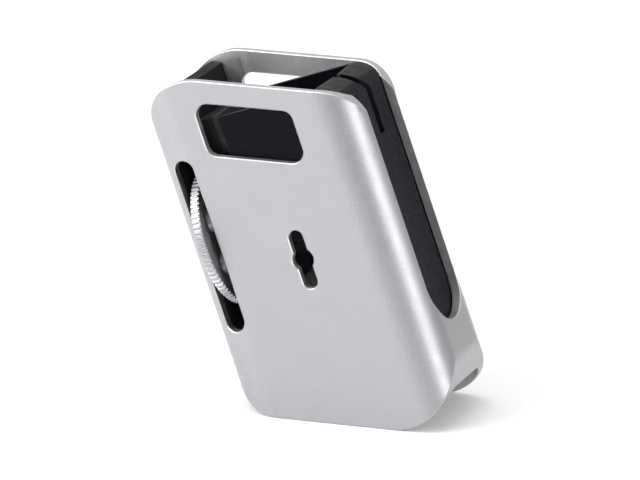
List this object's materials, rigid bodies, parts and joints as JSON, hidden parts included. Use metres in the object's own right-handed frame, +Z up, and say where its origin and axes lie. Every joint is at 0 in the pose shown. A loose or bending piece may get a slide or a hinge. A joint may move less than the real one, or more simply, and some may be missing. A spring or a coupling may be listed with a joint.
{
  "type": "watch movement holder",
  "caption": "Leaning aluminium sleeve with windows, a keyhole and a side gap, holding a small screw vice that a thumb wheel drives to grip a watch movement in its mouth.",
  "frame": {"origin": "centre of the footprint box on the surface that the holder stands on, thumb wheel included", "axes": "+Z up, +X to the right along the level foot as seen from the front, +Y from the front to the back; the sleeve leans towards -X"},
  "size_m": [0.0748, 0.0382, 0.08],
  "materials": {
    "sleeve_aluminium": "bead blasted and clear anodised, satin",
    "black_anodised": "black anodised aluminium, satin",
    "nest_anodised": "blasted dark blue-grey anodised aluminium",
    "jaw_plastic": "machined black acetal",
    "black_acetal": "machined black acetal, fine matte",
    "black_steel": "blackened steel plate, satin",
    "bright_steel": "ground and polished steel",
    "dark_steel": "blackened steel",
    "bronze": "sintered bronze",
    "brass": "turned brass",
    "knurled_aluminium": "diamond turned, straight knurled"
  },
  "bodies": {
    "housing": {"sleeve": "sleeve_aluminium", "left_side_plate": "black_acetal", "right_side_plate": "black_steel", "bridge_plate": "black_anodised", "wheel_pillars": "brass", "pillar_screws": "bright_steel", "wall_screws": "bright_steel", "bridge_screws": "bright_steel", "nest_block": "nest_anodised", "nest_screws": "bright_steel", "fixed_jaw_pads": "jaw_plastic", "fixed_pad_screws": "bright_steel", "upper_guide_rod": "bright_steel", "lower_guide_rod": "bright_steel", "outer_bearing_bush": "bronze", "bridge_bearing_bush": "bronze", "end_bearing_bush": "bronze"},
    "wheel_screw": {"lead_screw": "bright_steel", "wheel_hub": "black_anodised", "wheel_rim": "knurled_aluminium", "hub_grub_screw": "dark_steel", "thrust_washers": "brass", "retaining_clip": "dark_steel"},
    "jaw": {"jaw_carriage": "black_acetal", "lead_nut": "brass", "nut_screws": "bright_steel", "guide_bushes": "bronze", "moving_jaw_pad": "jaw_plastic", "moving_pad_screws": "bright_steel"}
  },
  "joints": [
    {"name": "wheel_turn", "type": "hinge", "parent": "housing", "child": "wheel_screw", "pos_m": [-0.0213, -0.0023, 0.04002], "axis": [0.9415, 0, 0.3371], "range_deg": [-1, 1441]},
    {"name": "jaw_slide", "type": "slide", "parent": "housing", "child": "jaw", "axis": [0.9415, 0, 0.3371], "range_m": [0, 0.008]}
  ],
  "couplings": [
    {"joint": "wheel_turn", "follows": "jaw_slide", "rad_per_m": 3141.6}
  ]
}
